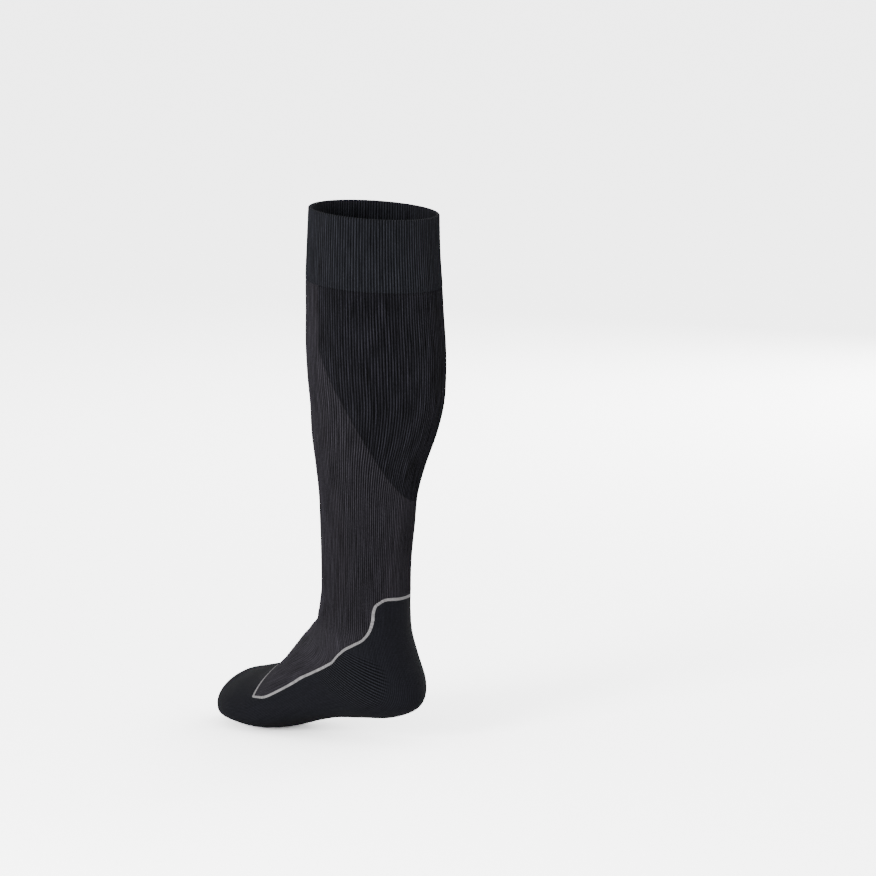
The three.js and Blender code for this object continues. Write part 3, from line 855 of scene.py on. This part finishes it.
def knit_material(
    name, yarn, shadow, rib, stitch, wales=1.0, streaks=0.3, mottle=0.2, lines=0.0, bump=1.0
):
    material = bpy.data.materials.new(name)
    material.use_nodes = True
    tree = material.node_tree
    shader = tree.nodes["Principled BSDF"]
    counts = put(tree, "ShaderNodeUVMap", uv_map="knit").outputs[0]
    place = put(tree, "ShaderNodeTexCoord").outputs["Object"]
    knit = put(tree, "ShaderNodeGroup", node_tree=knit_group)
    uneven = put(tree, "ShaderNodeGroup", node_tree=yarn_group)
    tree.links.new(counts, knit.inputs["Counts"])
    if wales == 1.0:
        tree.links.new(fading_ribs(tree, counts, rib), knit.inputs["Rib Depth"])
    else:
        knit.inputs["Rib Depth"].default_value = rib
    knit.inputs["Stitch Depth"].default_value = stitch
    knit.inputs["Wales per Rib"].default_value = wales
    if lines:
        tree.links.new(course_lines(tree, counts, lines), knit.inputs["Course Lines"])
    tree.links.new(counts, uneven.inputs["Counts"])
    tree.links.new(place, uneven.inputs["Place"])
    uneven.inputs["Streaks"].default_value = streaks
    uneven.inputs["Mottle"].default_value = mottle
    # Painted shade: the shadow colour goes where openness is low, deep between ribs and stitches, and the
    # yarn colour where it is high.
    blend = put(tree, "ShaderNodeMix", {0: knit.outputs["Openness"]}, data_type="RGBA")
    blend.inputs[6].default_value = (*shadow, 1)
    blend.inputs[7].default_value = (*yarn, 1)
    tone = {0: blend.outputs[2], "Scale": uneven.outputs["Tone"]}
    toned = put(tree, "ShaderNodeVectorMath", tone, operation="SCALE")
    relief = put(tree, "ShaderNodeBump", {"Height": knit.outputs["Height"]})
    relief.inputs["Strength"].default_value = bump
    relief.inputs["Distance"].default_value = BUMP_DISTANCE
    tree.links.new(toned.outputs[0], shader.inputs["Base Color"])
    tree.links.new(relief.outputs[0], shader.inputs["Normal"])
    shader.inputs["Roughness"].default_value = 0.92
    shader.inputs["Specular IOR Level"].default_value = 0.12
    shader.inputs["Sheen Weight"].default_value = 0.006
    shader.inputs["Sheen Roughness"].default_value = 0.45
    return material


FINISHES = {
    "stocking_top_band": knit_material(
        "band knit",
        yarn=(0.0352, 0.0360, 0.0462),
        shadow=(0.0006, 0.0008, 0.0010),
        rib=1.0,
        stitch=0.2,
        streaks=0.6,
        bump=1.4,
    ),
    "stocking_calf_panel": knit_material(
        "calf knit",
        yarn=(0.0330, 0.0316, 0.0420),
        shadow=(0.0001, 0.0001, 0.0002),
        rib=1.0,
        stitch=0.3,
        streaks=1.0,
        bump=1.8,
    ),
    "stocking_shin_panel": knit_material(
        "shin knit",
        yarn=(0.0540, 0.0494, 0.0614),
        shadow=(0.0012, 0.0011, 0.0015),
        rib=1.0,
        stitch=0.2,
        streaks=0.6,
        bump=1.3,
    ),
    "stocking_foot": knit_material(
        "foot knit",
        yarn=(0.0218, 0.0222, 0.0294),
        shadow=(0.0008, 0.0009, 0.0016),
        rib=0.6,
        stitch=0.15,
        wales=1.3,
        streaks=0.2,
        lines=2.4,
    ),
    "stocking_tracer": knit_material(
        "tracer knit",
        yarn=(0.4902, 0.4730, 0.4859),
        shadow=(0.1720, 0.1670, 0.1720),
        rib=0.4,
        stitch=0.4,
        wales=2.0,
        streaks=0.05,
        mottle=0.06,
    ),
}
print("finishes:", ", ".join(material.name for material in FINISHES.values()))

# %% [markdown]
# ## Putting the pieces in place
# Each piece takes the place of one imported solid, which is hidden, and gets its own knit finish. Its size
# flat, before the leg stretches it, is worked out and printed. Such a stocking is knitted about a fifth
# narrower than the leg, which is what makes it press, and its length hardly changes. So each flat width
# is four fifths of the worn girth all round, and each flat length is the worn length. The calf, shin and
# foot have curved ends, and the worn area of each piece is printed too. The tracer is too narrow for a
# flat size of its own and gets none.

# %% Flat sizes
RELAXED = 0.8
BAND_GIRTH_DEPTH = 30
CALF_GIRTH_DEPTH = 110
WIDEST_FOOT_STATION = 22
LINE_POINTS = 200


def flat_girth(station):
    return RELAXED * np.interp(station, TABLE_STATIONS, ring_lengths[:, -1]) * MM


def line_length(angle, start, end):
    line = surface(np.linspace(start, end, LINE_POINTS), angle)
    return np.linalg.norm(np.diff(line, axis=0), axis=1).sum() * MM


def layer_area(piece):
    """Area of one side of a closed thin wall, in square metres."""
    return sum(polygon.area for polygon in piece.data.polygons) / 2


under_band = station_at(BAND_HEIGHT)
calf_width = flat_girth(station_at(CALF_GIRTH_DEPTH)) * CALF_HALF_ANGLE / 180
front_length = line_length(0, under_band, TRACER_PATH[-1][0])
sole_length = line_length(180, TRACER_PATH[0][0], LAST_STATION)
FLAT_SIZES = {
    top_band: (flat_girth(station_at(BAND_GIRTH_DEPTH)), BAND_HEIGHT * MM),
    calf_panel: (calf_width, (CALF_TIP_DEPTH - BAND_HEIGHT) * MM),
    shin_panel: (flat_girth(station_at(CALF_TIP_DEPTH)), front_length),
    foot: (flat_girth(WIDEST_FOOT_STATION), sole_length),
}

# %% Give every piece its finish and hide its imported solid
PIECES = {
    top_band: ("top_band", "band_knit"),
    calf_panel: ("calf_panel", "calf_knit"),
    shin_panel: ("shin_panel", "shin_knit"),
    foot: ("foot", "foot_knit"),
    tracer: ("tracer", "tracer_knit"),
}
for piece, (node, slot) in PIECES.items():
    piece.data.materials.append(FINISHES[piece.name])
    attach(piece, "root")
    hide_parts(node)

for piece, (width, length) in FLAT_SIZES.items():
    print(f"{piece.name}: flat {width / MM:.0f} by {length / MM:.0f} mm,", end=" ")
    print(f"worn {layer_area(piece) * 1e4:.0f} cm2")

# %% [markdown]
# ## Floor, light and camera
# The stocking stands on a plain pale floor in soft light from above and from the left, as in a product
# picture. The camera looks at it from behind and from its outer side, a little from above.

# %% Floor and world
FLOOR_REACH = 12.0
FLOOR_CLEARANCE = 0.0004
FLOOR_TONE = 0.86
BACKDROP_WHITE = 7.0
HORIZON_GLOW, OVERHEAD_GLOW, OVERHEAD_FROM = 1.75, 0.35, 0.8


def grey(value):
    return (value, value, value, 1)


def make_floor():
    reach = FLOOR_REACH
    mesh = bpy.data.meshes.new("floor")
    corners = [(-reach, -reach), (reach, -reach), (reach, reach), (-reach, reach)]
    height = -FLOOR_DEPTH * MM - FLOOR_CLEARANCE
    mesh.from_pydata([(x, y, height) for x, y in corners], [], [(0, 1, 2, 3)])
    floor = bpy.data.objects.new("floor", mesh)
    bpy.context.collection.objects.link(floor)
    material = bpy.data.materials.new("pale floor")
    material.use_nodes = True
    shader = material.node_tree.nodes["Principled BSDF"]
    shader.inputs["Roughness"].default_value = 0.8
    shader.inputs["Specular IOR Level"].default_value = 0.0
    seen = put(material.node_tree, "ShaderNodeLightPath").outputs["Is Camera Ray"]
    white = put(material.node_tree, "ShaderNodeMix", {0: seen}, data_type="RGBA")
    white.inputs[6].default_value = grey(FLOOR_TONE)
    white.inputs[7].default_value = grey(BACKDROP_WHITE)
    material.node_tree.links.new(white.outputs[2], shader.inputs["Base Color"])
    mesh.materials.append(material)


def make_room():
    """Soft light from all round, strongest near the horizon and weaker overhead."""
    world = bpy.data.worlds.new("soft room")
    bpy.context.scene.world = world
    world.use_nodes = True
    tree = world.node_tree
    background = tree.nodes["Background"]
    background.inputs[0].default_value = grey(1)
    upwards = put(tree, "ShaderNodeTexCoord").outputs["Generated"]
    height = put(tree, "ShaderNodeSeparateXYZ", {0: upwards}).outputs[2]
    glow = ramp(tree, height, 0.0, OVERHEAD_FROM, HORIZON_GLOW, OVERHEAD_GLOW)
    tree.links.new(glow, background.inputs[1])


make_floor()
make_room()
print("floor at", -FLOOR_DEPTH, "mm, backdrop white", BACKDROP_WHITE)

# %% [markdown]
# ## Two lamps and the camera
# A large lamp on the left shapes the leg, as a softbox does, and a weaker one behind lifts the far side
# off the dark. The lamps are placed from the camera's side, by how far left, near and up they stand. A
# long lens from five metres keeps the leg's lines nearly parallel.

# %% Lights and camera
AIM = np.array([-0.04172, 0.03272, -0.190])
TOWARDS_CAMERA = np.array([math.sqrt(0.5), math.sqrt(0.5), 0])
TO_LEFT = np.array([math.sqrt(0.5), -math.sqrt(0.5), 0])
CAMERA_DISTANCE, CAMERA_RISE, CAMERA_LENS = 5.0, 0.636, 250.6


def look_at(thing, target):
    way = Vector(target) - thing.location
    thing.rotation_euler = way.to_track_quat("-Z", "Y").to_euler()


def add_light(name, left, near, up, size, power):
    light = bpy.data.lights.new(name, "AREA")
    light.shape = "DISK"
    light.size = size
    light.energy = power
    lamp = bpy.data.objects.new(name, light)
    bpy.context.collection.objects.link(lamp)
    lamp.location = AIM + TO_LEFT * left + TOWARDS_CAMERA * near + np.array([0, 0, up])
    look_at(lamp, AIM)


add_light("key", 1.7, 2.4, 0.5, 1.2, 66)
add_light("window", -1.4, -2.4, 0.6, 1.8, 24)

camera_data = bpy.data.cameras.new("camera")
camera = bpy.data.objects.new("camera", camera_data)
bpy.context.collection.objects.link(camera)
camera.location = AIM + TOWARDS_CAMERA * CAMERA_DISTANCE + np.array([0, 0, CAMERA_RISE])
look_at(camera, AIM)
camera_data.sensor_width = 36
camera_data.lens = CAMERA_LENS
camera_data.clip_end = 60
bpy.context.scene.camera = camera
print("camera", CAMERA_DISTANCE, "m away, lens", CAMERA_LENS, "mm")
